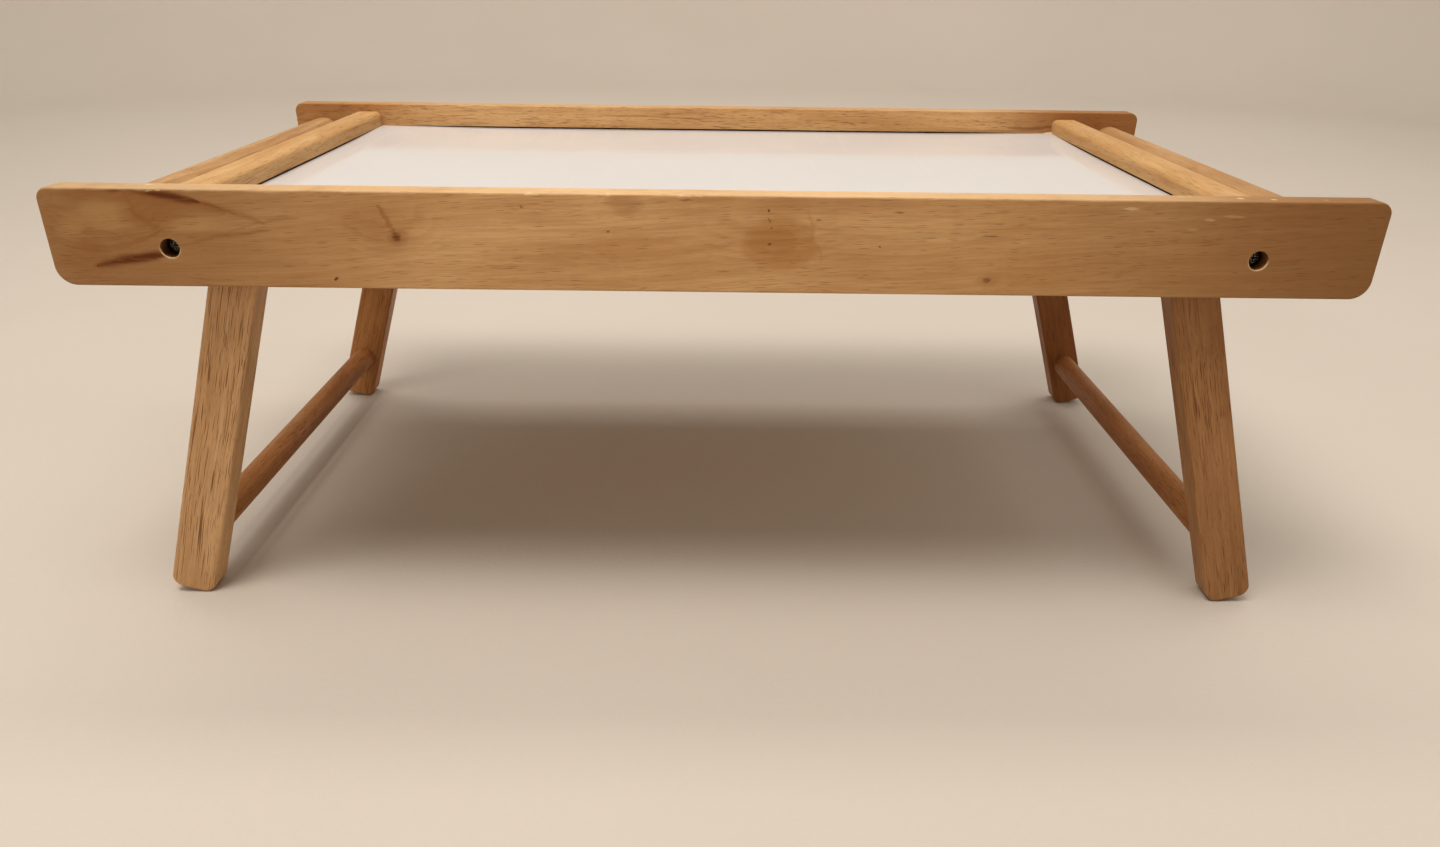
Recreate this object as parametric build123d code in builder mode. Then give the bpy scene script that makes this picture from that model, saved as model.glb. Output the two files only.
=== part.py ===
"""Folding tray table: a lap tray with handles and two leg frames that fold under it.

Row frame, in millimetres: +X along the long side to the right, +Y to the back, +Z up.
The origin is on the ground under the middle of the tray, with the legs open.
Left is -X and front is -Y.
"""

import os
from math import cos, radians, sin

from build123d import *

# Whole object
overall_length = 635.0
overall_depth = 343.0
overall_height = 228.5

# Front and back rails
rail_height = 47.0
rail_thickness = 13.0
rail_end_slope = 1.4
rail_top_corner = 6.0
rail_bottom_corner = 9.5
rail_edge_round = 1.0

# End rails, between the front and back rails
tray_opening_length = 506.0
end_rail_width = 19.5
end_rail_drop = 5.5
end_rail_lift = 1.0
end_rail_top_round = 4.0
end_rail_bottom_round = 1.0
ledge_width = 2.2

# Tray panel, loose in grooves that are wider than it is thick
panel_drop = 16.4
panel_thickness = 3.0
groove_drop = 15.4
groove_width = 4.4
groove_depth = 5.0

# Handles, with a tenon at each end
handle_offset = 297.0
handle_drop = 21.5
handle_radius = 11.3
handle_tenon_radius = 8.0
handle_tenon_length = 8.0

# Legs
leg_width = 23.8
leg_thickness = 17.0
leg_splay_deg = 16.5
leg_foot_corner = 6.5
leg_edge_round = 1.6
leg_rail_gap = 1.5
pivot_offset = 234.2
pivot_drop = 32.2

# Stretchers, one between the two legs of each end
stretcher_radius = 8.0
stretcher_from_pivot = 170.0
stretcher_tenon_radius = 5.0
stretcher_tenon_length = 12.0

# Rail screws, one through each rail end into an end rail
rail_screw_offset = 259.2
rail_screw_drop = 28.3
counterbore_radius = 4.7
counterbore_depth = 8.5
rail_screw_head_radius = 4.2
rail_screw_head_height = 2.6
rail_screw_shank_radius = 2.2
rail_screw_length = 38.0

# Locating pins beside the rail screws
pin_offset = 263.5
pin_drop = 39.0
pin_radius = 3.0
pin_in_rail = 8.5
pin_in_end_rail = 15.0

# Leg pivot screws, driven from inside through a leg into a rail
pivot_head_radius = 4.8
pivot_head_height = 3.0
pivot_shank_radius = 2.5
pivot_screw_depth_in_rail = 10.0
pivot_running_gap = 0.08

# Washers at the leg pivots
spacer_outer_radius = 8.0
spacer_thickness = 1.2
head_washer_outer_radius = 6.5
head_washer_thickness = 1.0
washer_bore_gap = 0.3
axial_gap = 0.15

# Details shared by the screws
recess_width = 1.1
recess_length = 4.4
recess_depth = 1.5
head_edge_round = 1.1
screw_tip_length = 4.0
screw_tip_radius = 0.4

# Assembly gap round tenons, pins and screw shanks, and past their ends
glue_gap = 0.05
end_gap = 0.3

# Worked-out places
splay = radians(leg_splay_deg)
inner_depth = overall_depth - 2 * rail_thickness
rail_middle_height = overall_height - rail_height / 2
end_rail_inner = tray_opening_length / 2
pivot_height = overall_height - pivot_drop
handle_height = overall_height - handle_drop
panel_top = overall_height - panel_drop
groove_bottom = overall_height - groove_drop - groove_width
groove_middle_height = groove_bottom + groove_width / 2

# The foot's lowest point lies on its inner rounded corner, and it stands on the ground.
half_leg_width = leg_width / 2
foot_arc_height = pivot_height - leg_foot_corner - (half_leg_width - leg_foot_corner) * sin(splay)
leg_length = foot_arc_height / cos(splay) + leg_foot_corner

sides = {"left": -1, "right": 1}
ends = {"front": -1, "back": 1}


def facing_plane(x, y, z, facing):
    """A plane that faces -Y (facing -1) or +Y (facing 1), with its own y axis up."""
    return Plane(origin=(x, y, z), x_dir=(-facing, 0, 0), z_dir=(0, facing, 0))


def across_plane(x, z):
    """The upright plane along Y through (x, z), with its x axis along +Y and its y axis up."""
    return Plane(origin=(x, 0, z), x_dir=(0, 1, 0), z_dir=(1, 0, 0))


def leg_plane(side, end, depth_from_rail):
    """A plane across a leg at its pivot, with its y axis up the splayed leg.

    It lies depth_from_rail inside the rail's inner face and faces the tray's middle.
    """
    up_leg = Vector(-side * sin(splay), 0, cos(splay))
    inward = Vector(0, -end, 0)
    origin = (side * pivot_offset, end * (inner_depth / 2 - depth_from_rail), pivot_height)
    return Plane(origin=origin, x_dir=up_leg.cross(inward), z_dir=inward)


def save(builder, label):
    """Labels a finished piece and writes its STEP file."""
    builder.part.label = label
    export_step(builder.part, f"parts/{label}.step")


def make_rail(end):
    """A long rail: rounded board with a panel groove, screw holes and blind sockets."""
    outer_y = end * overall_depth / 2
    inner_y = end * inner_depth / 2
    half_top = overall_length / 2
    half_bottom = half_top - rail_end_slope
    half_height = rail_height / 2
    outline = [
        (-half_bottom, -half_height),
        (half_bottom, -half_height),
        (half_top, half_height),
        (-half_top, half_height),
    ]
    with BuildPart() as rail:
        with BuildSketch(facing_plane(0, outer_y, rail_middle_height, end)) as board:
            with BuildLine():
                Polyline(*outline, close=True)
            make_face()
            fillet(board.vertices().group_by(Axis.Y)[-1], radius=rail_top_corner)
            fillet(board.vertices().group_by(Axis.Y)[0], radius=rail_bottom_corner)
        extrude(amount=-rail_thickness)
        broad_faces = rail.faces().group_by(Axis.Y)
        fillet(broad_faces[0].edges() + broad_faces[-1].edges(), radius=rail_edge_round)
        with BuildSketch(facing_plane(0, inner_y, groove_middle_height, -end)):
            Rectangle(tray_opening_length + 2 * groove_depth, groove_width)
        extrude(amount=-groove_depth, mode=Mode.SUBTRACT)
        for side in sides.values():
            screw_x = side * rail_screw_offset
            with Locations(facing_plane(screw_x, outer_y, overall_height - rail_screw_drop, end)):
                CounterBoreHole(
                    radius=rail_screw_shank_radius + glue_gap,
                    counter_bore_radius=counterbore_radius,
                    counter_bore_depth=counterbore_depth,
                )
            with Locations(facing_plane(side * pin_offset, inner_y, overall_height - pin_drop, -end)):
                Hole(radius=pin_radius + glue_gap, depth=pin_in_rail + end_gap)
            with Locations(facing_plane(side * handle_offset, inner_y, handle_height, -end)):
                Hole(radius=handle_tenon_radius + glue_gap, depth=handle_tenon_length + end_gap)
            with Locations(facing_plane(side * pivot_offset, inner_y, pivot_height, -end)):
                Hole(radius=pivot_shank_radius + glue_gap, depth=pivot_screw_depth_in_rail + end_gap)
    return rail


def make_end_rail(side):
    """An end rail: a bar with a rounded top, grooved for the panel and bored at both ends.

    Under the groove a ledge stands proud of the inner face. The panel lies on it, and the open
    legs lean against its lower edge.
    """
    top = overall_height - end_rail_drop
    bottom = overall_height - rail_height + end_rail_lift
    middle_x = side * (end_rail_inner + end_rail_width / 2)
    ledge_x = side * (end_rail_inner - ledge_width / 2)
    with BuildPart() as end_rail:
        with BuildSketch(Plane.XZ.offset(-inner_depth / 2)) as section:
            with Locations((middle_x, (top + bottom) / 2)):
                Rectangle(end_rail_width, top - bottom)
            with Locations((ledge_x, (groove_bottom + bottom) / 2)):
                Rectangle(ledge_width, groove_bottom - bottom)
            fillet(section.vertices().group_by(Axis.Y)[-1], radius=end_rail_top_round)
            fillet(section.vertices().group_by(Axis.Y)[0], radius=end_rail_bottom_round)
            with Locations((side * end_rail_inner, groove_middle_height)):
                Rectangle(2 * groove_depth, groove_width, mode=Mode.SUBTRACT)
        extrude(amount=inner_depth)
        for end in ends.values():
            end_y = end * inner_depth / 2
            screw_depth = rail_screw_length - (rail_thickness - counterbore_depth)
            with Locations(facing_plane(side * rail_screw_offset, end_y, overall_height - rail_screw_drop, end)):
                Hole(radius=rail_screw_shank_radius + glue_gap, depth=screw_depth + end_gap)
            with Locations(facing_plane(side * pin_offset, end_y, overall_height - pin_drop, end)):
                Hole(radius=pin_radius + glue_gap, depth=pin_in_end_rail + end_gap)
    return end_rail


def make_panel():
    """The thin board that fills the tray, with its edges in the grooves."""
    reach = 2 * (groove_depth - end_gap)
    with BuildPart() as panel:
        with BuildSketch(Plane.XY.offset(panel_top)):
            Rectangle(tray_opening_length + reach, inner_depth + reach)
        extrude(amount=-panel_thickness)
    return panel


def make_dowel(x, z, half_length, radius, tenon_radius, tenon_length):
    """A round bar along Y, with a turned tenon at each end."""
    with BuildPart() as dowel:
        with BuildSketch(across_plane(x, z)):
            with BuildLine():
                Polyline(
                    (-half_length, radius),
                    (-half_length, tenon_radius),
                    (-half_length - tenon_length, tenon_radius),
                    (-half_length - tenon_length, 0),
                    (half_length + tenon_length, 0),
                    (half_length + tenon_length, tenon_radius),
                    (half_length, tenon_radius),
                    (half_length, radius),
                    close=True,
                )
            make_face()
        revolve(axis=Axis((x, 0, z), (0, 1, 0)))
    return dowel


def make_leg(side, end):
    """A leg: a flat bar, round at the pivot, with rounded foot corners and soft edges."""
    with BuildPart() as leg:
        with BuildSketch(leg_plane(side, end, leg_rail_gap)) as bar:
            with BuildLine():
                Polyline(
                    (-half_leg_width, 0),
                    (-half_leg_width, -leg_length),
                    (half_leg_width, -leg_length),
                    (half_leg_width, 0),
                )
                ThreePointArc((half_leg_width, 0), (0, half_leg_width), (-half_leg_width, 0))
            make_face()
            fillet(bar.vertices().group_by(Axis.Y)[0], radius=leg_foot_corner)
        extrude(amount=leg_thickness)
        broad_faces = leg.faces().group_by(Axis.Y)
        fillet(broad_faces[0].edges() + broad_faces[-1].edges(), radius=leg_edge_round)
        inner_face = leg_plane(side, end, leg_rail_gap + leg_thickness)
        with Locations(inner_face):
            Hole(radius=pivot_shank_radius + pivot_running_gap)
        with Locations(inner_face * Pos(0, -stretcher_from_pivot)):
            Hole(radius=stretcher_tenon_radius + glue_gap, depth=stretcher_tenon_length + end_gap)
    return leg


def make_screw(head_plane, head_radius, head_height, shank_radius, shank_length):
    """A pan-head screw with a cross recess. Its head stands on head_plane, and its shank goes down."""
    tip_slope = (shank_radius - screw_tip_radius) / screw_tip_length
    with BuildPart() as screw:
        with BuildSketch(head_plane):
            Circle(head_radius)
        extrude(amount=head_height)
        head_top = screw.faces().sort_by(Axis(head_plane.origin, head_plane.z_dir))[-1]
        fillet(head_top.edges(), radius=head_edge_round)
        with BuildSketch(head_plane):
            Circle(shank_radius)
        extrude(amount=-(shank_length - screw_tip_length))
        with BuildSketch(head_plane.offset(-(shank_length - screw_tip_length))):
            Circle(shank_radius)
        with BuildSketch(head_plane.offset(-shank_length)):
            Circle(shank_radius - tip_slope * screw_tip_length)
        loft()
        with BuildSketch(head_plane.offset(head_height)):
            Rectangle(recess_length, recess_width)
            Rectangle(recess_width, recess_length)
        extrude(amount=-recess_depth, mode=Mode.SUBTRACT)
    return screw


def make_washer(plane, outer_radius, bore_radius, thickness):
    """A flat ring that lies on plane."""
    with BuildPart() as washer:
        with BuildSketch(plane):
            Circle(outer_radius)
            Circle(bore_radius, mode=Mode.SUBTRACT)
        extrude(amount=thickness)
    return washer


def make_pin(side, end):
    """A locating pin from a rail's blind hole into the end rail's end."""
    with BuildPart() as pin:
        inner_y = end * inner_depth / 2
        start = facing_plane(side * pin_offset, inner_y + end * pin_in_rail, overall_height - pin_drop, -end)
        with BuildSketch(start):
            Circle(pin_radius)
        extrude(amount=pin_in_rail + pin_in_end_rail)
    return pin


os.makedirs("parts", exist_ok=True)

for end_name, end in ends.items():
    save(make_rail(end), f"{end_name}_rail")

save(make_panel(), "tray_panel")

leg_inner_face = leg_rail_gap + leg_thickness
pivot_head_seat = leg_inner_face + axial_gap + head_washer_thickness

for side_name, side in sides.items():
    save(make_end_rail(side), f"{side_name}_end_rail")
    handle = make_dowel(
        side * handle_offset,
        handle_height,
        inner_depth / 2,
        handle_radius,
        handle_tenon_radius,
        handle_tenon_length,
    )
    save(handle, f"{side_name}_handle")
    stretcher = make_dowel(
        side * (pivot_offset + stretcher_from_pivot * sin(splay)),
        pivot_height - stretcher_from_pivot * cos(splay),
        inner_depth / 2 - leg_inner_face,
        stretcher_radius,
        stretcher_tenon_radius,
        stretcher_tenon_length,
    )
    save(stretcher, f"{side_name}_stretcher")

    for end_name, end in ends.items():
        corner = f"{side_name}_{end_name}"
        save(make_leg(side, end), f"{corner}_leg")
        save(make_pin(side, end), f"{corner}_locating_pin")

        rail_screw_seat = facing_plane(
            side * rail_screw_offset,
            end * (overall_depth / 2 - counterbore_depth),
            overall_height - rail_screw_drop,
            end,
        )
        rail_screw = make_screw(
            rail_screw_seat,
            rail_screw_head_radius,
            rail_screw_head_height,
            rail_screw_shank_radius,
            rail_screw_length,
        )
        save(rail_screw, f"{corner}_rail_screw")

        pivot_screw = make_screw(
            leg_plane(side, end, pivot_head_seat),
            pivot_head_radius,
            pivot_head_height,
            pivot_shank_radius,
            pivot_head_seat + pivot_screw_depth_in_rail,
        )
        save(pivot_screw, f"{corner}_pivot_screw")

        washer_bore = pivot_shank_radius + washer_bore_gap
        spacer = make_washer(
            leg_plane(side, end, 0), spacer_outer_radius, washer_bore, spacer_thickness
        )
        save(spacer, f"{corner}_spacer_washer")
        head_washer = make_washer(
            leg_plane(side, end, leg_inner_face + axial_gap),
            head_washer_outer_radius,
            washer_bore,
            head_washer_thickness,
        )
        save(head_washer, f"{corner}_head_washer")
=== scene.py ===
import math

import bmesh
import bpy
from mathutils import Matrix, Vector, noise


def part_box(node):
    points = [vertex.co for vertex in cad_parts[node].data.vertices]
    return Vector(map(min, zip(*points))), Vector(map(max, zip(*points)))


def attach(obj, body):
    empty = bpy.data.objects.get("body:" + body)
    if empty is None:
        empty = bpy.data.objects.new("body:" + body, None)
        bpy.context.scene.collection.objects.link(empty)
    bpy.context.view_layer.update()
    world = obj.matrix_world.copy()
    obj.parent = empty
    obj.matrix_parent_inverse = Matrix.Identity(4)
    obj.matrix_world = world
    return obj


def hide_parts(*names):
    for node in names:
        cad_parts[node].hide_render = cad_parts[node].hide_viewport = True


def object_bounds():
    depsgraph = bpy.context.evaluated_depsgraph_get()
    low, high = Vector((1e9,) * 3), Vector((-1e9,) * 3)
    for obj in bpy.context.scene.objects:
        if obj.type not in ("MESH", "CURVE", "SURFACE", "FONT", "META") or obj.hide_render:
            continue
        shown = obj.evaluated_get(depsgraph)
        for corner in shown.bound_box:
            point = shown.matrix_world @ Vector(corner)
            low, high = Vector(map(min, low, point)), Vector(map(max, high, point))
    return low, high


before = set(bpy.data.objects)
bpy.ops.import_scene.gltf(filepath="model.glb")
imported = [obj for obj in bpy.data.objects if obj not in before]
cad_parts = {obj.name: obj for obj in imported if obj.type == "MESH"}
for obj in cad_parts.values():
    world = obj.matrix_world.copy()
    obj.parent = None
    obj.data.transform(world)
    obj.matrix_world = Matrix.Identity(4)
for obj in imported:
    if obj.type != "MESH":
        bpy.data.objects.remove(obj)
cad_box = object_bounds()

# The row frame: X runs along the rails, Y from the front rail to the back rail, Z up from the feet.
# Everything is in metres, apart from the lens in millimetres, and angles are in degrees.
sides = {"left": -1, "right": 1}
ends = ("front", "back")
rail_low, rail_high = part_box("front_rail")
counterbore_radius = 0.0047
panel_low, panel_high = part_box("tray_panel")
# The panel shows between the rails' inner faces. Under it, a ledge stands proud of each end rail.
ledge_width = 0.0022
tray_opening = (
    Vector((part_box("left_end_rail")[1].x - ledge_width, rail_high.y, 0)),
    Vector((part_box("right_end_rail")[0].x + ledge_width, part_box("back_rail")[0].y, 0)),
)

# Which way the grain runs, as the turn that brings it onto X.
along_x = (0, 0, 0)
along_y = (0, 0, -90)
leg_splay = 16.5
along_leg = {side: (0, -90 + sign * leg_splay, 0) for side, sign in sides.items()}

# Camera: a wide lens half a metre in front of the tray and a little above its rails.
camera_lens = 26.5
camera_in_front = 0.4953
camera_above_rails = 0.0977
camera_pitch = 23.32
camera_yaw = 0.35
camera_roll = 0.75


def tone(red, green, blue):
    """A colour as a screen shows it, 0 to 255, turned into the linear colour that shaders take."""
    linear = []
    for value in (red, green, blue):
        share = value / 255
        linear.append(share / 12.92 if share <= 0.04045 else ((share + 0.055) / 1.055) ** 2.4)
    return (*linear, 1.0)


# The cosine between the rounded and the real normal, on a flat face and on an arris.
face_cosine = 0.995
arris_cosine = 0.86


class Shader:
    """One material's nodes, built with short calls. A value is a number, a tuple or an output socket."""

    def __init__(self, name):
        self.material = bpy.data.materials.new(name)
        self.material.use_nodes = True
        self.nodes = self.material.node_tree.nodes
        self.links = self.material.node_tree.links
        self.nodes.clear()

    def put(self, socket, value):
        if isinstance(value, bpy.types.NodeSocket):
            self.links.new(value, socket)
        else:
            socket.default_value = value

    def add(self, kind, inputs, **settings):
        node = self.nodes.new(kind)
        for name, value in settings.items():
            setattr(node, name, value)
        for key, value in inputs.items():
            self.put(node.inputs[key], value)
        return node

    def maths(self, operation, *values):
        return self.add("ShaderNodeMath", dict(enumerate(values)), operation=operation).outputs[0]

    def vector(self, operation, *values):
        node = self.add("ShaderNodeVectorMath", dict(enumerate(values)), operation=operation)
        return node.outputs["Value" if operation in ("LENGTH", "DOT_PRODUCT") else "Vector"]

    def fade(self, value, start, end, low=0.0, high=1.0):
        """low at start, high at end, with a smooth step between."""
        inputs = {"Value": value, "From Min": start, "From Max": end, "To Min": low, "To Max": high}
        return self.add("ShaderNodeMapRange", inputs, interpolation_type="SMOOTHSTEP").outputs["Result"]

    def noise(self, place, stretch, detail=3.0, roughness=0.5):
        """Noise with features of one unit divided by stretch along each axis."""
        inputs = {"Vector": self.vector("MULTIPLY", place, stretch), "Scale": 1.0, "Detail": detail}
        inputs["Roughness"] = roughness
        return self.add("ShaderNodeTexNoise", inputs).outputs[0]

    def mix(self, share, first, second):
        inputs = {0: share, 6: first, 7: second}
        return self.add("ShaderNodeMix", inputs, data_type="RGBA").outputs[2]

    def place(self):
        return self.add("ShaderNodeTexCoord", {}).outputs["Object"]

    def turned(self, place, turn, offset):
        inputs = {"Vector": place, "Rotation": [math.radians(a) for a in turn], "Location": offset}
        return self.add("ShaderNodeMapping", inputs).outputs["Vector"]

    def parts(self, place):
        """The x, y and z outputs of a place."""
        return self.add("ShaderNodeSeparateXYZ", {0: place}).outputs

    def edge(self, radius):
        """1 on the arrises and 0 on the faces, from how far a rounded normal leaves the real one."""
        rounded = self.add("ShaderNodeBevel", {"Radius": radius}, samples=4).outputs[0]
        real = self.add("ShaderNodeNewGeometry", {}).outputs["Normal"]
        return self.fade(self.vector("DOT_PRODUCT", rounded, real), face_cosine, arris_cosine)

    def finish(self, colour, roughness, height, depth, **constants):
        """Ends the material in a Principled shader. constants are values set on its own sockets."""
        bump = self.add("ShaderNodeBump", {"Height": height, "Distance": depth, "Strength": 1.0})
        inputs = {"Base Color": colour, "Roughness": roughness, "Normal": bump.outputs[0]}
        inputs.update({name.replace("_", " "): value for name, value in constants.items()})
        shader = self.add("ShaderNodeBsdfPrincipled", inputs)
        self.add("ShaderNodeOutputMaterial", {"Surface": shader.outputs[0]})
        return self.material


# Rubberwood. The grain place has X along the grain. A stretch is what noise multiplies the place by.

bend_stretch = (7, 6, 6)
wobble_stretch = (4.5, 24, 24)
blotch_stretch = (11, 34, 34)
streak_stretch = (8, 210, 210)
fibre_stretch = (38, 1100, 1100)
crowd_stretch = (12, 55, 55)
hair_stretch = (60, 1700, 1700)
long_pore_pitch = (0.0150, 0.00070, 0.00070)
fine_pore_pitch = (0.0070, 0.00046, 0.00046)
long_pore_reach = 0.27
fine_pore_reach = 0.30
fine_pore_strength = 0.45
ring_pitch = 0.0052
ring_wobble = 0.020
pith_offset = (0.0, 0.031, 0.052)
streak_swing = 0.16
grain_wander = 0.009
plain_ring_share = 0.13
arris_radius = 0.0012
wood_relief = 0.00010
pore_brown = tone(98, 50, 16)
fibre_brown = tone(120, 74, 30)
worn_wood = tone(228, 194, 140)


def wandering(s, grain):
    """The grain place with its lines bent a little, as grain wanders along a board."""
    inputs = {"Vector": s.vector("MULTIPLY", grain, bend_stretch), "Scale": 1.0, "Detail": 2.0}
    bent = s.add("ShaderNodeTexNoise", inputs)
    shift = s.vector("SUBTRACT", bent.outputs["Color"], (0.5, 0.5, 0.5))
    return s.vector("ADD", grain, s.vector("MULTIPLY", shift, (0, grain_wander, grain_wander)))


def vessels(s, grain, pitch, reach, share):
    """Short lines along the grain: 1 inside one. share is the part of the cells that has one."""
    cells = s.vector("DIVIDE", grain, pitch)
    voronoi = s.add("ShaderNodeTexVoronoi", {"Vector": cells, "Scale": 1.0}, feature="F1")
    kept = s.maths("LESS_THAN", s.parts(voronoi.outputs["Color"])[0], share)
    return s.maths("MULTIPLY", s.fade(voronoi.outputs["Distance"], reach, reach * 0.45), kept)


def pores(s, grain, share, length):
    """The dark pores of rubberwood, long, fine and hair-thin, which crowd in different places."""
    crowd = s.noise(grain, crowd_stretch, detail=2)
    long_pitch = (long_pore_pitch[0] * length, *long_pore_pitch[1:])
    long_share = s.fade(crowd, 0.32, 0.66, share * 0.25, share * 1.6)
    long_pore = vessels(s, grain, long_pitch, long_pore_reach, long_share)
    fine_share = s.fade(crowd, 0.66, 0.32, share * 0.5, share * 1.4)
    fine_pore = vessels(s, grain, fine_pore_pitch, fine_pore_reach, fine_share)
    hairs = s.noise(grain, (hair_stretch[0] / length, *hair_stretch[1:]), detail=2, roughness=0.45)
    hair_share = s.fade(crowd, 0.30, 0.62, share * 0.2, share * 0.8)
    hair = s.maths("MULTIPLY", s.fade(hairs, 0.57, 0.68), hair_share)
    pore = s.maths("MAXIMUM", long_pore, s.maths("MULTIPLY", fine_pore, fine_pore_strength))
    return s.maths("MAXIMUM", pore, hair)


def rings(s, grain, wobble, lift):
    """Growth rings round a pith that lies outside the board: 0 in early wood and 1 in late wood."""
    from_pith = s.vector("MULTIPLY", s.vector("ADD", grain, pith_offset), (0, 1, 1))
    radius = s.maths("MULTIPLY_ADD", wobble, ring_wobble, s.vector("LENGTH", from_pith))
    radius = s.maths("ADD", radius, lift)
    phase = s.maths("FRACT", s.maths("DIVIDE", radius, ring_pitch))
    return s.maths("MULTIPLY", s.fade(phase, 0.1, 0.85), s.fade(phase, 1.0, 0.88))


def wood_colour(s, grain, tones, lift, ring_strength):
    """Blotches and streaks from the dark tone to the light one, with the rings taken off."""
    light, dark = tones
    wobble = s.noise(grain, wobble_stretch, detail=2, roughness=0.4)
    blotch = s.noise(grain, blotch_stretch, detail=4, roughness=0.55)
    streaks = s.noise(grain, streak_stretch, detail=3, roughness=0.6)
    light_share = s.fade(blotch, 0.28, 0.72, 0.34, 0.92)
    light_share = s.maths("ADD", light_share, s.fade(streaks, 0.25, 0.75, -streak_swing, streak_swing))
    ring = s.maths("MULTIPLY", rings(s, grain, wobble, lift), ring_strength)
    light_share = s.add("ShaderNodeClamp", {0: s.maths("SUBTRACT", light_share, ring)}).outputs[0]
    return s.mix(light_share, dark, light)


def rubberwood(name, turn, seed, tones, pore_share=0.5, pore_depth=0.6, pore_length=1.0,
               ring_share=plain_ring_share, figure=None, marks=None):
    """Lacquered rubberwood. figure(s, place) gives the lift and the strength of one board's own rings,
    and marks(s, place, colour) adds its knots and streaks."""
    s = Shader(name)
    place = s.place()
    grain = wandering(s, s.turned(place, turn, (seed * 0.731, seed * 0.113, seed * 0.257)))
    lift, ring_strength = figure(s, place) if figure else (0.0, ring_share)
    colour = wood_colour(s, grain, tones, lift, ring_strength)
    fibre = s.noise(grain, fibre_stretch, detail=3, roughness=0.6)
    colour = s.mix(s.fade(fibre, 0.42, 0.62, 0.0, 0.15), colour, fibre_brown)
    if marks:
        colour = marks(s, place, colour)
    pore = pores(s, grain, pore_share, pore_length)
    colour = s.mix(s.maths("MULTIPLY", pore, pore_depth), colour, pore_brown)
    worn = s.edge(arris_radius)
    patchy = s.fade(s.noise(place, (60, 60, 60)), 0.4, 0.65)
    colour = s.mix(s.maths("MULTIPLY", worn, s.maths("MULTIPLY", patchy, 0.3)), colour, worn_wood)
    smudges = s.noise(place, (16, 16, 22), detail=4)
    roughness = s.fade(smudges, 0.3, 0.7, 0.42, 0.58)
    roughness = s.maths("MULTIPLY_ADD", worn, 0.1, roughness)
    height = s.maths("MULTIPLY_ADD", pore, -0.20, s.maths("MULTIPLY", fibre, 0.30))
    return s.finish(colour, roughness, height, wood_relief, Specular_IOR_Level=0.20, IOR=1.46)


# The front rail's own figure. Each place is (x from the middle, drop below the rail's top), measured on
# the photo and rounded to the half millimetre. Sizes and strengths were chosen one by one.

rail_swells = (
    # x, drop, half length, half height, lift of the rings
    (-0.2880, 0.0140, 0.0380, 0.0260, 0.0180),
    (-0.1520, 0.0200, 0.0260, 0.0170, 0.0090),
    (0.0280, 0.0215, 0.0420, 0.0200, 0.0080),
    (-0.3020, 0.0385, 0.0110, 0.0090, 0.0070),
)
plain_ring_strength = 0.10
figured_ring_strength = 0.26
figured_lift = 0.0100
# From here on, the last number of a spot or a streak is its strength.
rail_knots = (
    # x, drop, half length, half height, strength
    (-0.1500, 0.0220, 0.0032, 0.0028, 0.85),
    (0.0255, 0.0230, 0.0012, 0.0010, 0.95),
    (0.0250, 0.0150, 0.0007, 0.0010, 0.60),
    (0.0245, 0.0115, 0.0006, 0.0013, 0.60),
    (0.0245, 0.0070, 0.0010, 0.0010, 0.90),
    (-0.0900, 0.0070, 0.0010, 0.0008, 0.60),
    (-0.0505, 0.0180, 0.0011, 0.0009, 0.70),
    (0.0775, 0.0235, 0.0007, 0.0008, 0.60),
    (0.0855, 0.0070, 0.0026, 0.0006, 0.55),
    (0.0490, 0.0115, 0.0016, 0.0008, 0.45),
    (-0.1815, 0.0425, 0.0010, 0.0015, 1.00),
    (0.1310, 0.0395, 0.0034, 0.0016, 0.75),
    (-0.0145, 0.0025, 0.0044, 0.0006, 0.75),
    (0.0040, 0.0365, 0.0044, 0.0006, 0.60),
    (0.1280, 0.0175, 0.0050, 0.0006, 0.60),
    (-0.2800, 0.0010, 0.0050, 0.0016, 0.70),
)
rail_clouds = (
    (-0.1650, 0.0140, 0.0160, 0.0110, 0.22),
    (-0.1540, 0.0240, 0.0150, 0.0120, 0.25),
    (-0.1500, 0.0220, 0.0070, 0.0055, 0.50),
    (0.0280, 0.0230, 0.0120, 0.0080, 0.10),
    (-0.2640, 0.0100, 0.0200, 0.0120, 0.42),
    (-0.2850, 0.0020, 0.0240, 0.0060, 0.50),
    (-0.2940, 0.0280, 0.0080, 0.0040, 0.35),
    (-0.3000, 0.0340, 0.0150, 0.0120, 0.25),
    (0.0550, 0.0020, 0.0450, 0.0090, 0.30),
    (-0.0430, 0.0040, 0.0110, 0.0080, 0.35),
    (0.1310, 0.0395, 0.0090, 0.0040, 0.30),
)
rail_blots = (
    (0.0300, 0.0225, 0.0200, 0.0140, 0.34),
    (0.0270, 0.0215, 0.0130, 0.0080, 0.22),
    (-0.0360, 0.0265, 0.0260, 0.0070, 0.14),
)
rail_lights = (
    (-0.2870, 0.0125, 0.0170, 0.0105, 0.34),
    (-0.3040, 0.0180, 0.0090, 0.0090, 0.22),
    (-0.2450, 0.0170, 0.0200, 0.0050, 0.25),
    (0.0100, 0.0380, 0.0600, 0.0060, 0.18),
)
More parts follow.
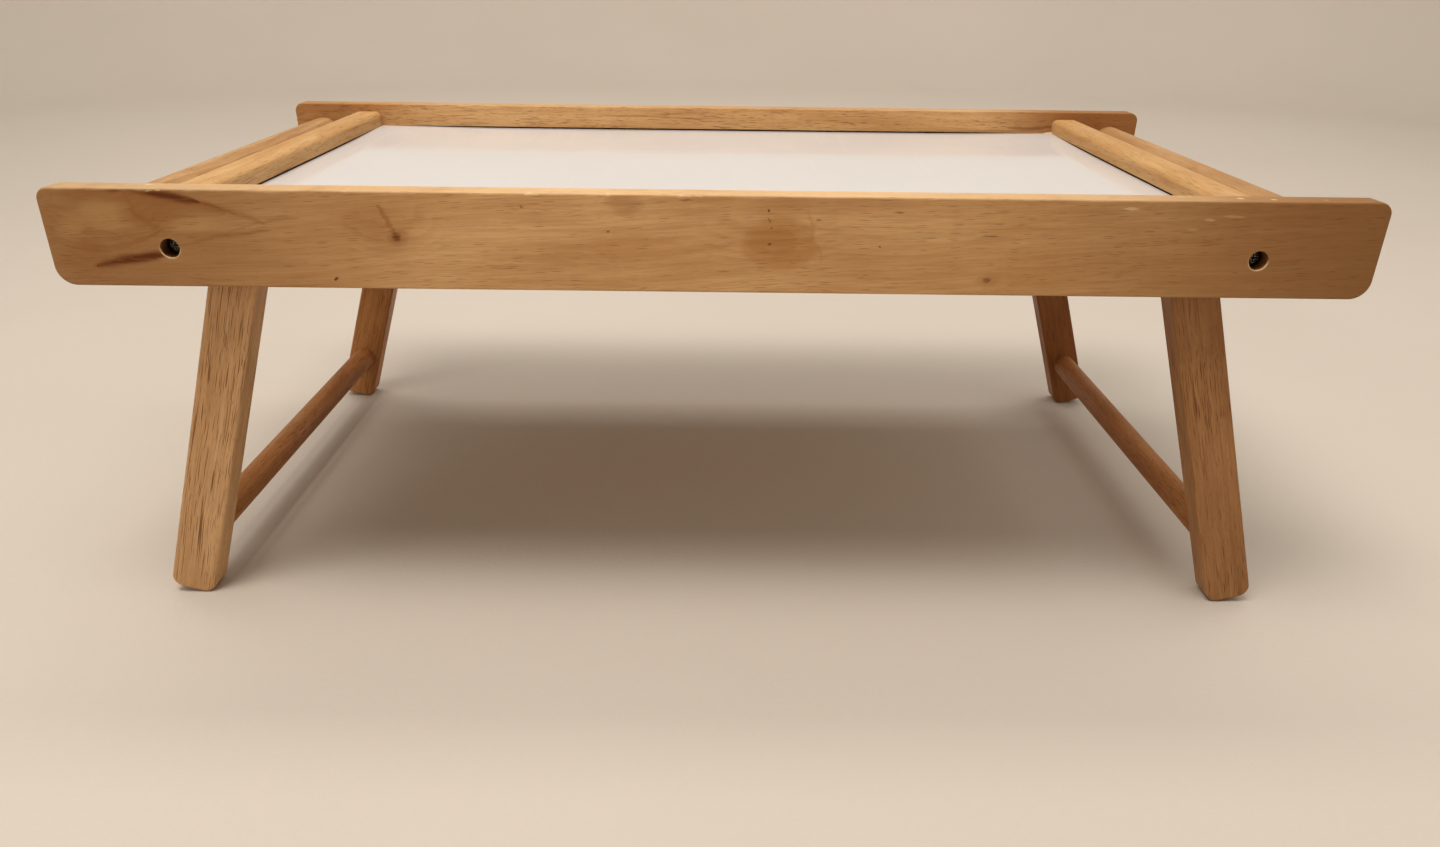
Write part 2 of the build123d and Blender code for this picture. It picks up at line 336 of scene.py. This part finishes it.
rail_smears = (
    # start, end, bow, half width, strength
    ((-0.2790, 0.0005), (-0.2300, 0.0110), -0.0012, 0.0062, 0.60),
    ((-0.2440, 0.0060), (-0.2120, 0.0165), -0.0012, 0.0026, 0.40),
    ((-0.2990, 0.0370), (-0.2590, 0.0310), -0.0004, 0.0056, 0.60),
    ((-0.2560, 0.0270), (-0.2100, 0.0190), -0.0010, 0.0016, 0.40),
    ((-0.2300, 0.0200), (-0.1960, 0.0130), -0.0015, 0.0014, 0.30),
    ((-0.3100, 0.0270), (-0.2860, 0.0300), 0.0010, 0.0016, 0.50),
    ((-0.2900, 0.0290), (-0.2600, 0.0190), 0.0016, 0.0022, 0.50),
    ((-0.2760, 0.0030), (-0.2620, 0.0190), 0.0040, 0.0046, 0.45),
    ((-0.3040, 0.0240), (-0.2800, 0.0230), -0.0030, 0.0012, 0.35),
    ((-0.1580, 0.0070), (-0.1500, 0.0215), 0.0000, 0.0050, 0.55),
    ((0.0440, 0.0080), (0.0500, 0.0300), 0.0, 0.0080, 0.20),
)
rail_streaks = (
    ((-0.2740, 0.0005), (-0.2410, 0.0065), -0.0006, 0.0038, 0.80),
    ((-0.2660, 0.0020), (-0.2420, 0.0060), -0.0004, 0.0026, 0.95),
    ((-0.2450, 0.0055), (-0.2250, 0.0120), -0.0008, 0.0014, 0.35),
    ((-0.2970, 0.0370), (-0.2590, 0.0310), -0.0004, 0.0042, 0.95),
    ((-0.2860, 0.0355), (-0.2620, 0.0315), 0.0, 0.0022, 0.90),
)
rail_scuffs = (
    (0.1950, 0.0045, 0.0045, 0.0009, 0.50),
    (0.2320, 0.0090, 0.0030, 0.0010, 0.30),
    (0.2440, 0.0075, 0.0060, 0.0008, 0.30),
    (0.2260, 0.0140, 0.0040, 0.0007, 0.25),
)
back_rail_veins = (
    ((0.2200, 0.0120), (0.2540, 0.0105), 0.0006, 0.0016, 0.55),
    ((0.1500, 0.0150), (0.2480, 0.0125), 0.0012, 0.0014, 0.35),
    ((-0.0900, 0.0060), (0.0100, 0.0070), 0.0008, 0.0012, 0.30),
)
rail_grain_slope = 2.5
figure_wave = 0.006
mark_wave = 0.0045
vein_wave = 0.003
blot_core = 0.6
clean_top = 0.0002
full_mark_drop = 0.0010
chip_depth = 0.0016
chip_strength = 0.7
# Strength of the painted highlight on the rail's top.
top_highlight_strength = 0.35
lit_rim_strength = 0.8
hole_shade_strength = 0.6
# The right end's darkening is partly the wood's own tone and partly painted shade, where the light falls
# off to the right.
left_end_darkening = 0.66
right_end_darkening_and_shade = 0.82
# The holes' lower rims get a painted highlight, partly worn bare wood; further in, the walls get painted
# shade.
lit_rim_inner = counterbore_radius * 0.98
lit_rim_outer = counterbore_radius * 1.14
hole_shade_reach = counterbore_radius * 1.02
hole_shade_brown = tone(96, 52, 24)
end_brown = tone(122, 76, 34)
back_end_brown = tone(140, 84, 36)
# Bare wood for the chips and scuffs, and also the colour of the painted highlights on the rail's top and
# the holes' rims.
bare_wood_and_highlight = tone(236, 206, 160)
warm_brown = tone(146, 92, 44)
golden_brown = tone(164, 108, 38)
light_grain = tone(208, 162, 106)
streak_brown = tone(96, 46, 8)


def spot(s, x, drop, mark, core=0.0):
    """1 out to the core of a mark, fading to 0 at its rim. core is a share of its size, squared."""
    at_x, at_drop, half_length, half_height, strength = mark
    across = s.maths("POWER", s.maths("DIVIDE", s.maths("SUBTRACT", x, at_x), half_length), 2.0)
    down = s.maths("POWER", s.maths("DIVIDE", s.maths("SUBTRACT", drop, at_drop), half_height), 2.0)
    return s.fade(s.maths("ADD", across, down), 1.0, core, 0.0, strength)


def streak(s, x, drop, mark):
    """A mineral streak that tapers to both ends and bows between them."""
    (start_x, start_drop), (end_x, end_drop), bow, half_width, strength = mark
    along = s.maths("DIVIDE", s.maths("SUBTRACT", x, start_x), end_x - start_x)
    belly = s.maths("MULTIPLY", s.maths("MULTIPLY", along, s.maths("SUBTRACT", 1.0, along)), 4.0)
    middle = s.maths("MULTIPLY_ADD", along, end_drop - start_drop, start_drop)
    middle = s.maths("MULTIPLY_ADD", belly, bow, middle)
    width = s.maths("MULTIPLY", s.maths("SQRT", s.maths("MAXIMUM", belly, 0.0)), half_width)
    width = s.maths("MAXIMUM", width, 0.00001)
    off = s.maths("DIVIDE", s.maths("ABSOLUTE", s.maths("SUBTRACT", drop, middle)), width)
    return s.maths("MULTIPLY", s.fade(off, 1.0, 0.0, 0.0, strength), s.maths("GREATER_THAN", belly, 0.0))


def rail_place(s, place, wave_height):
    """x from the rail's middle and a slightly wavy distance below its top."""
    x, _, z = s.parts(place)
    wave = s.maths("SUBTRACT", s.noise(place, (35, 35, 110), detail=4, roughness=0.6), 0.5)
    drop = s.maths("MULTIPLY_ADD", wave, wave_height, s.maths("SUBTRACT", rail_high.z, z))
    return s.maths("MULTIPLY_ADD", wave, wave_height * 3, x), drop


def front_rail_figure(s, place):
    """The lift of the front rail's rings, which swell round its knots, and their strength."""
    x, drop = rail_place(s, place, figure_wave)
    lift = 0.0
    for swell in rail_swells:
        lift = s.maths("ADD", spot(s, x, drop, swell), lift)
    strength = s.fade(lift, 0.0, figured_lift, plain_ring_strength, figured_ring_strength)
    return lift, strength


def lay(s, colour, tint, masks, share=1.0):
    """Mixes a tint into the colour through each mask in turn, all of them reduced to a share."""
    for mask in masks:
        colour = s.mix(s.maths("MULTIPLY", mask, share), colour, tint)
    return colour


def front_rail_marks(s, place, colour):
    """The front rail darkens to both ends: its own tone, and at the right end also painted shade where the
    light falls off. All its marks but the light and golden ones stay off its top.
    """
    x, drop = rail_place(s, place, mark_wave)
    below_top = s.maths("SUBTRACT", rail_high.z, s.parts(place)[2])
    on_face = s.fade(below_top, clean_top, full_mark_drop)
    broken = s.fade(s.noise(place, (110, 80, 900), detail=4), 0.28, 0.58, 0.45, 1.0)
    broken = s.maths("MULTIPLY", broken, on_face)
    to_left = s.fade(x, -0.10, -0.31, 0.0, left_end_darkening)
    # Towards the right end: partly the wood's own tone, partly painted shade where the light falls off to
    # the right.
    to_right_with_shade = s.fade(x, 0.10, 0.33, 0.0, right_end_darkening_and_shade)
    colour = s.mix(s.maths("ADD", to_left, to_right_with_shade), colour, end_brown)
    colour = lay(s, colour, light_grain, [spot(s, x, drop, mark) for mark in rail_lights])
    colour = lay(s, colour, golden_brown, [spot(s, x, drop, mark, blot_core) for mark in rail_blots])
    colour = lay(s, colour, warm_brown, [spot(s, x, drop, mark) for mark in rail_clouds], on_face)
    colour = lay(s, colour, warm_brown, [streak(s, x, drop, mark) for mark in rail_smears], on_face)
    colour = lay(s, colour, streak_brown, [streak(s, x, drop, mark) for mark in rail_streaks], broken)
    colour = lay(s, colour, streak_brown, [spot(s, x, drop, mark) for mark in rail_knots], broken)
    colour = lay(s, colour, bare_wood_and_highlight, [spot(s, x, drop, mark) for mark in rail_scuffs], broken)
    return front_rail_wear_and_light(s, place, x, drop, colour)


def front_rail_wear_and_light(s, place, x, drop, colour):
    """Chips along the top arris, a top lightened by a painted highlight that stops short of the right end,
    and the screw holes, with painted light on their lower rims and painted shade inside.
    """
    chips = s.fade(s.noise(place, (95, 200, 200), detail=2), 0.69, 0.74)
    chips = s.maths("MULTIPLY", chips, s.fade(drop, chip_depth, chip_depth * 0.4))
    colour = s.mix(s.maths("MULTIPLY", chips, chip_strength), colour, bare_wood_and_highlight)
    # Painted highlight: the top is mixed toward bare wood, as lit from above with a grazing reflection,
    # except at the right end.
    lit_top = s.maths("MULTIPLY", s.fade(drop, chip_depth, 0.0, 0.0, top_highlight_strength), s.fade(x, 0.29, 0.16))
    colour = s.mix(lit_top, colour, bare_wood_and_highlight)
    rim, hole_shade = screw_holes(s, place)
    # Painted highlight on the holes' lower rims, partly worn bare wood, then painted shade on the walls
    # inside the holes.
    colour = s.mix(s.maths("MULTIPLY", rim, lit_rim_strength), colour, bare_wood_and_highlight)
    return s.mix(s.maths("MULTIPLY", hole_shade, hole_shade_strength), colour, hole_shade_brown)


def screw_holes(s, place):
    """Two masks: the holes' lower rims, where the edge is worn bare and a painted highlight stands for the
    light it catches, and the walls further in, which take painted shade.
    """
    x, y, z = s.parts(place)
    inwards = s.maths("SUBTRACT", y, rail_low.y)
    lit_rims = 0.0
    hole_shades = 0.0
    for side in sides:
        low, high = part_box(f"{side}_front_rail_screw")
        off_x = s.maths("SUBTRACT", x, (low.x + high.x) / 2)
        off_z = s.maths("SUBTRACT", z, (low.z + high.z) / 2)
        squares = s.maths("ADD", s.maths("POWER", off_x, 2.0), s.maths("POWER", off_z, 2.0))
        radius = s.maths("SQRT", squares)
        rim = s.maths("MULTIPLY", s.fade(radius, lit_rim_outer, lit_rim_inner), s.fade(off_z, 0.001, -0.002))
        lit_rims = s.maths("ADD", rim, lit_rims)
        hole_shades = s.maths("ADD", s.maths("LESS_THAN", radius, hole_shade_reach), hole_shades)
    lit_rims = s.maths("MULTIPLY", lit_rims, s.fade(inwards, 0.0014, 0.0005))
    return lit_rims, s.maths("MULTIPLY", hole_shades, s.fade(inwards, 0.0005, 0.0020))


def back_rail_marks(s, place, colour):
    """The back rail darkens to both ends, and dark veins run along it."""
    x, drop = rail_place(s, place, vein_wave)
    to_end = s.maths("ADD", s.fade(x, -0.20, -0.31, 0.0, 0.45), s.fade(x, 0.19, 0.27, 0.0, 0.78))
    colour = s.mix(to_end, colour, back_end_brown)
    return lay(s, colour, streak_brown, [streak(s, x, drop, mark) for mark in back_rail_veins])


# Other materials. Each pair of tones is what its material varies between.

film_tones = (tone(222, 221, 221), tone(215, 213, 212))
scuff_grey = tone(150, 142, 136)
# The colour of the painted shade on the film inside the rails' grooves.
groove_shade_brown = tone(124, 70, 48)
core_tones = (tone(150, 108, 66), tone(196, 154, 106))
core_drift = tone(136, 94, 56)
filler_tones = (tone(206, 172, 130), tone(238, 222, 200))
black_tones = (tone(30, 28, 27), tone(66, 62, 58))
zinc_tones = (tone(158, 158, 152), tone(206, 205, 198))
worn_steel = tone(236, 232, 222)
floor_tones = (tone(208, 199, 188), tone(200, 191, 179))
groove_shade_fade = 0.0004
steel_arris = 0.0003
film_relief = 0.000006
core_relief = 0.0001
filler_relief = 0.0002
steel_relief = 0.00003
cloth_relief = 0.0002


def groove_shade(s, place):
    """1 on the part of the panel that lies inside the rails' grooves, which is painted dark as painted
    shade.
    """
    low, high = tray_opening
    x, y, _ = s.parts(place)
    beyond_x = s.maths("MAXIMUM", s.maths("SUBTRACT", low.x, x), s.maths("SUBTRACT", x, high.x))
    beyond_y = s.maths("MAXIMUM", s.maths("SUBTRACT", low.y, y), s.maths("SUBTRACT", y, high.y))
    return s.fade(s.maths("MAXIMUM", beyond_x, beyond_y), 0.0, groove_shade_fade)


def melamine(name):
    """Warm white melamine film: faint mottling, an orange-peel surface, a few grey scuffs and painted shade
    inside the grooves.
    """
    s = Shader(name)
    place = s.place()
    cloud = s.noise(place, (9, 9, 9), detail=4)
    colour = s.mix(cloud, *film_tones)
    scuff = s.fade(s.noise(place, (55, 420, 1), detail=2), 0.70, 0.80)
    patch = s.fade(s.noise(place, (14, 14, 1), detail=1), 0.56, 0.66)
    scuffed = s.maths("MULTIPLY", s.maths("MULTIPLY", scuff, patch), 0.35)
    colour = s.mix(scuffed, colour, scuff_grey)
    # Painted shade: the film inside the rails' grooves is darkened where the grooves' lips shade it.
    colour = s.mix(groove_shade(s, place), colour, groove_shade_brown)
    wiped = s.noise(place, (30, 6, 1), detail=3)
    roughness = s.fade(wiped, 0.25, 0.75, 0.07, 0.10)
    smears = s.fade(s.noise(place, (140, 11, 1), detail=1), 0.62, 0.74, 0.0, 0.06)
    roughness = s.maths("ADD", roughness, smears)
    height = s.noise(place, (120, 120, 120), detail=1)
    return s.finish(colour, roughness, height, film_relief, IOR=1.5)


def fibreboard(name):
    """The panel's pressed-wood core, on its edges and its underside."""
    s = Shader(name)
    place = s.place()
    chips = s.noise(place, (900, 900, 900), detail=5, roughness=0.7)
    drift = s.noise(place, (12, 12, 12), detail=3)
    colour = s.mix(s.fade(chips, 0.35, 0.68), *core_tones)
    colour = s.mix(s.fade(drift, 0.3, 0.7, 0.0, 0.3), colour, core_drift)
    roughness = s.fade(chips, 0.3, 0.7, 0.62, 0.85)
    return s.finish(colour, roughness, chips, core_relief, IOR=1.45)


def filler(name):
    """A crumb of pale wood filler."""
    s = Shader(name)
    place = s.place()
    grit = s.noise(place, (1500, 1500, 1500), detail=4)
    colour = s.mix(grit, *filler_tones)
    roughness = s.fade(grit, 0.3, 0.7, 0.6, 0.85)
    return s.finish(colour, roughness, grit, filler_relief, IOR=1.45)


def steel(name, tones, low_roughness, high_roughness, worn_edge):
    """Plated steel with fine turning lines, a dull bloom and brighter edges."""
    s = Shader(name)
    place = s.place()
    bloom = s.noise(place, (300, 300, 300), detail=4)
    turning = s.noise(place, (2600, 260, 2600), detail=2)
    colour = s.mix(bloom, *tones)
    colour = s.mix(s.maths("MULTIPLY", s.edge(steel_arris), worn_edge), colour, worn_steel)
    roughness = s.maths("MULTIPLY_ADD", turning, 0.4, bloom)
    roughness = s.fade(roughness, 0.4, 1.0, low_roughness, high_roughness)
    return s.finish(colour, roughness, turning, steel_relief, Metallic=1.0, IOR=2.5)


def floor_cloth(name):
    """A matt pale cloth with a very fine weave."""
    s = Shader(name)
    place = s.place()
    weave = s.noise(place, (420, 420, 420), detail=3)
    colour = s.mix(s.noise(place, (2, 2, 2)), *floor_tones)
    roughness = s.fade(weave, 0.3, 0.7, 0.8, 0.95)
    return s.finish(colour, roughness, weave, cloth_relief, IOR=1.4)


def cover(node_name, material):
    """Gives a CAD node one material on every face."""
    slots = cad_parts[node_name].data.materials
    slots.clear()
    slots.append(material)


# A seed moves a piece's grain to its own part of the wood.
front_rail_seed = 3.1
back_rail_seed = 8.7
first_end_seed = 11.3
end_seed_step = 2.9
leg_seed_step = 1.7

# The light and the dark tone of each wooden piece.
front_rail_tones = (tone(218, 173, 120), tone(186, 135, 82))
back_rail_tones = (tone(218, 174, 120), tone(184, 132, 78))
end_rail_tones = (tone(207, 166, 112), tone(186, 137, 82))
handle_tones = (tone(196, 156, 108), tone(164, 120, 74))
stretcher_tones = (tone(188, 130, 76), tone(142, 86, 42))
# The back legs and the right legs are darker: partly the wood varying between pieces, partly painted shade,
# as they stand in the tray's shadow and where the light falls off to the right.
leg_tones_with_shade = {
    ("left", "front"): (tone(220, 178, 130), tone(188, 140, 92)),
    ("left", "back"): (tone(196, 140, 84), tone(150, 94, 48)),
    ("right", "front"): (tone(178, 130, 84), tone(140, 94, 54)),
    ("right", "back"): (tone(166, 110, 62), tone(122, 72, 36)),
}


def dress_rails():
    """The front rail has rings and marks of its own, and the back rail has its veins."""
    front_wood = rubberwood("front_rail_wood", (0, rail_grain_slope, 0), front_rail_seed,
                            front_rail_tones, pore_share=0.45, pore_depth=0.5,
                            figure=front_rail_figure, marks=front_rail_marks)
    cover("front_rail", front_wood)
    back_wood = rubberwood("back_rail_wood", along_x, back_rail_seed, back_rail_tones,
                           pore_share=0.8, pore_depth=0.9, marks=back_rail_marks)
    cover("back_rail", back_wood)


def dress_bars(side, seed):
    """The pieces of one end that run from the front to the back."""
    bars = (
        # piece, seed, tones, pore share, pore depth, pore length, ring share
        ("end_rail", seed, end_rail_tones, 0.6, 0.7, 1.3, 0.30),
        ("handle", seed + 1.1, handle_tones, 0.5, 0.7, 1.3, 0.40),
        ("stretcher", seed + 0.7, stretcher_tones, 0.9, 0.9, 1.0, plain_ring_share),
    )
    for piece, *look in bars:
        cover(f"{side}_{piece}", rubberwood(f"{side}_{piece}_wood", along_y, *look))


def dress_leg(side, end, seed):
    """One leg, and the locating pin of its corner."""
    leg_wood = rubberwood(f"{side}_{end}_leg_wood", along_leg[side], seed, leg_tones_with_shade[side, end],
                          pore_share=1.0, pore_depth=0.95, pore_length=2.1)
    cover(f"{side}_{end}_leg", leg_wood)
    pin_wood = rubberwood(f"{side}_{end}_pin_wood", along_x, seed + 0.4, end_rail_tones,
                          pore_share=0.3, pore_depth=0.4)
    cover(f"{side}_{end}_locating_pin", pin_wood)


def dress_wood():
    """Each piece of wood gets its own material, so that no two boards share a figure."""
    dress_rails()
    seed = first_end_seed
    for side in sides:
        seed += end_seed_step
        dress_bars(side, seed)
        for end in ends:
            seed += leg_seed_step
            dress_leg(side, end, seed)


def dress_steel():
    """The rail screws are black, and the pivot screws and washers are zinc plated."""
    black = steel("black_steel", black_tones, 0.24, 0.40, worn_edge=1.0)
    zinc = steel("zinc_steel", zinc_tones, 0.24, 0.46, worn_edge=0.6)
    for side in sides:
        for end in ends:
            cover(f"{side}_{end}_rail_screw", black)
            for piece in ("pivot_screw", "spacer_washer", "head_washer"):
                cover(f"{side}_{end}_{piece}", zinc)


def add_mesh(name, build, *materials):
    """Turns a bmesh into an object in the scene. Its materials go in slot order."""
    mesh = bpy.data.meshes.new(name)
    build.to_mesh(mesh)
    build.free()
    for material in materials:
        mesh.materials.append(material)
    piece = bpy.data.objects.new(name, mesh)
    bpy.context.scene.collection.objects.link(piece)
    return piece


# The panel, which sags a little between its corners.

panel_cells = (120, 80)
face_drop = 0.0001
edge_dip = 0.0011
middle_dip = 0.0015
corner_reach = 0.060
ripple_height = 0.00008


def panel_height(share_x, share_y):
    """How far the face is above its edges' middles. The shares run from -1 to 1 across the panel."""
    half_x = (panel_high.x - panel_low.x) / 2
    half_y = (panel_high.y - panel_low.y) / 2
    from_side = (1 - abs(share_x)) * half_x
    from_end = (1 - abs(share_y)) * half_y
    held = math.exp(-((from_side + from_end) / corner_reach) ** 2)
    belly = (1 - share_x ** 2) * (1 - share_y ** 2)
    ripple = ripple_height * noise.noise(Vector((share_x * 3.1, share_y * 2.3, 0.7)))
    return edge_dip * held - middle_dip * belly + ripple * belly


def panel_grid(build, level):
    """Rows of vertices over the panel, level metres above its face."""
    columns, rows = panel_cells
    grid = []
    for row in range(rows + 1):
        share_y = 2 * row / rows - 1
        line = []
        for column in range(columns + 1):
            share_x = 2 * column / columns - 1
            x = panel_low.x + (share_x + 1) / 2 * (panel_high.x - panel_low.x)
            y = panel_low.y + (share_y + 1) / 2 * (panel_high.y - panel_low.y)
            z = panel_high.z - face_drop + panel_height(share_x, share_y) + level
            line.append(build.verts.new((x, y, z)))
        grid.append(line)
    return grid


def panel_rim():
    """The grid's border as (row, column), once round, anticlockwise from above."""
    columns, rows = panel_cells
    rim = [(0, c) for c in range(columns)] + [(r, columns) for r in range(rows)]
    return rim + [(rows, c) for c in range(columns, 0, -1)] + [(r, 0) for r in range(rows, 0, -1)]


def make_panel():
    """A thin board with a film face, standing in for the CAD panel, which is flat."""
    build = bmesh.new()
    top = panel_grid(build, 0.0)
    bottom = panel_grid(build, panel_low.z - panel_high.z)
    columns, rows = panel_cells
    for row in range(rows):
        for column in range(columns):
            corners = [(row, column), (row, column + 1), (row + 1, column + 1), (row + 1, column)]
            build.faces.new([top[r][c] for r, c in corners]).smooth = True
            under = build.faces.new([bottom[r][c] for r, c in reversed(corners)])
            under.material_index = 1
            under.smooth = True
    rim = panel_rim()
    for (r, c), (next_r, next_c) in zip(rim, rim[1:] + rim[:1]):
        edge = [bottom[r][c], bottom[next_r][next_c], top[next_r][next_c], top[r][c]]
        build.faces.new(edge).material_index = 1
    board = add_mesh("tray_board", build, melamine("panel_film"), fibreboard("panel_core"))
    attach(board, "tray")
    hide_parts("tray_panel")


# A crumb of filler where the panel meets the back rail and the right end rail.

filler_length = 0.0075
filler_depth = 0.0030
filler_height = 0.0020
filler_lift = 0.0002
filler_steps = 14
filler_turns = 5


def filler_section(build, share):
    """A quarter round against the back rail. share is 0 at the thin left end and 1 in the corner."""
    _, corner = tray_opening
    base = panel_high.z + filler_lift
    lump = 0.75 + 0.5 * noise.noise(Vector((share * 5.0, 0.3, 0.9)))
    size = math.sqrt(share) * lump + 0.04
    x = corner.x - filler_length * (1 - share)
    section = []
    for turn in range(filler_turns + 1):
        angle = math.pi / 2 * turn / filler_turns
        y = corner.y - filler_depth * size * math.cos(angle)
        z = base + filler_height * size * math.sin(angle)
        section.append(build.verts.new((x, y, z)))
    section.append(build.verts.new((x, corner.y, base)))
    return section


def make_filler():
    """A lumpy fillet along the back rail that thins out to the left."""
    build = bmesh.new()
    sections = [filler_section(build, step / filler_steps) for step in range(filler_steps + 1)]
    for near, far in zip(sections, sections[1:]):
        for i, vert in enumerate(near):
            after = (i + 1) % len(near)
            build.faces.new([vert, far[i], far[after], near[after]])
    build.faces.new(sections[0])
    build.faces.new(list(reversed(sections[-1])))
    bmesh.ops.recalc_face_normals(build, faces=build.faces)
    crumb = add_mesh("corner_filler", build, filler("wood_filler"))
    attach(crumb, "tray")


# Stage, light and camera.

floor_reach = 2.6
floor_gap = 0.0001
cove_radius = 0.8
cove_steps = 12
wall_height = 3.0
floor_turns = 96
warm_white = (1.0, 0.95, 0.89)
room_white = (1.0, 0.95, 0.88, 1)
room_strength = 0.30
lamps = (
    # name, place, what it points at, width, height, power
    ("ceiling", (-0.30, -0.46, 1.70), (0, 0, 0.1), 0.80, 0.70, 17.4),
    ("room_front", (-1.35, -1.25, 1.0), (0, 0, 0.15), 1.1, 1.0, 4.5),
    ("room_right", (1.30, 0.05, 1.20), (0, 0, 0.15), 1.1, 1.0, 3.5),
    ("room_back", (0, 1.1, 2.6), (0, 2.9, 0.5), 3.2, 1.4, 54),
    ("room_rear", (0, -1.1, 2.6), (0, -2.9, 0.5), 3.2, 1.4, 20),
)


def make_floor():
    """A pale round floor that curves up into a plain wall all round."""
    profile = [(0.0, 0.0), (0.8, 0.0), (1.8, 0.0), (floor_reach, 0.0)]
    for step in range(1, cove_steps + 1):
        angle = math.pi / 2 * step / cove_steps
        radius = floor_reach + cove_radius * math.sin(angle)
        profile.append((radius, cove_radius * (1 - math.cos(angle))))
    profile.append((floor_reach + cove_radius, wall_height))
    build = bmesh.new()
    spine = [build.verts.new((radius, 0, height)) for radius, height in profile]
    edges = [build.edges.new(pair) for pair in zip(spine, spine[1:])]
    turn = {"cent": (0, 0, 0), "axis": (0, 0, 1), "angle": math.tau, "use_merge": True}
    bmesh.ops.spin(build, geom=spine + edges, steps=floor_turns, **turn)
    bmesh.ops.remove_doubles(build, verts=build.verts, dist=0.00001)
    for face in build.faces:
        face.smooth = True
    floor = add_mesh("floor", build, floor_cloth("floor_cloth"))
    floor.location.z = cad_box[0].z - floor_gap


def add_lamp(name, place, target, width, height, power):
    """A soft rectangular lamp."""
    data = bpy.data.lights.new(name, "AREA")
    data.shape = "RECTANGLE"
    data.size = width
    data.size_y = height
    data.energy = power
    data.color = warm_white
    lamp = bpy.data.objects.new(name, data)
    lamp.location = place
    lamp.rotation_euler = (Vector(target) - Vector(place)).to_track_quat("-Z", "Y").to_euler()
    bpy.context.scene.collection.objects.link(lamp)


def add_light():
    """All the lamps, and a weak even light from every side."""
    for lamp in lamps:
        add_lamp(*lamp)
    world = bpy.data.worlds.new("room")
    world.use_nodes = True
    background = world.node_tree.nodes["Background"]
    background.inputs["Color"].default_value = room_white
    background.inputs["Strength"].default_value = room_strength
    bpy.context.scene.world = world
    bpy.context.scene.view_settings.view_transform = "Standard"


def add_camera():
    """The camera looks along +Y, pitched down, and is rolled by a fraction of a degree."""
    low, high = cad_box
    pitch, yaw, roll = (math.radians(a) for a in (camera_pitch, camera_yaw, camera_roll))
    level = math.cos(pitch)
    forward = Vector((math.sin(yaw) * level, math.cos(yaw) * level, -math.sin(pitch)))
    right = Vector((math.cos(yaw), -math.sin(yaw), 0))
    up = right.cross(forward)
    rolled_right = right * math.cos(roll) + up * math.sin(roll)
    rolled_up = up * math.cos(roll) - right * math.sin(roll)
    data = bpy.data.cameras.new("camera")
    data.lens = camera_lens
    data.clip_start = 0.01
    camera = bpy.data.objects.new("camera", data)
    place = Matrix.Translation((0, low.y - camera_in_front, high.z + camera_above_rails))
    turn = Matrix((rolled_right, rolled_up, -forward)).transposed().to_4x4()
    camera.matrix_world = place @ turn
    bpy.context.scene.collection.objects.link(camera)
    bpy.context.scene.camera = camera


add_camera()
add_light()
make_floor()
dress_wood()
dress_steel()
make_panel()
make_filler()
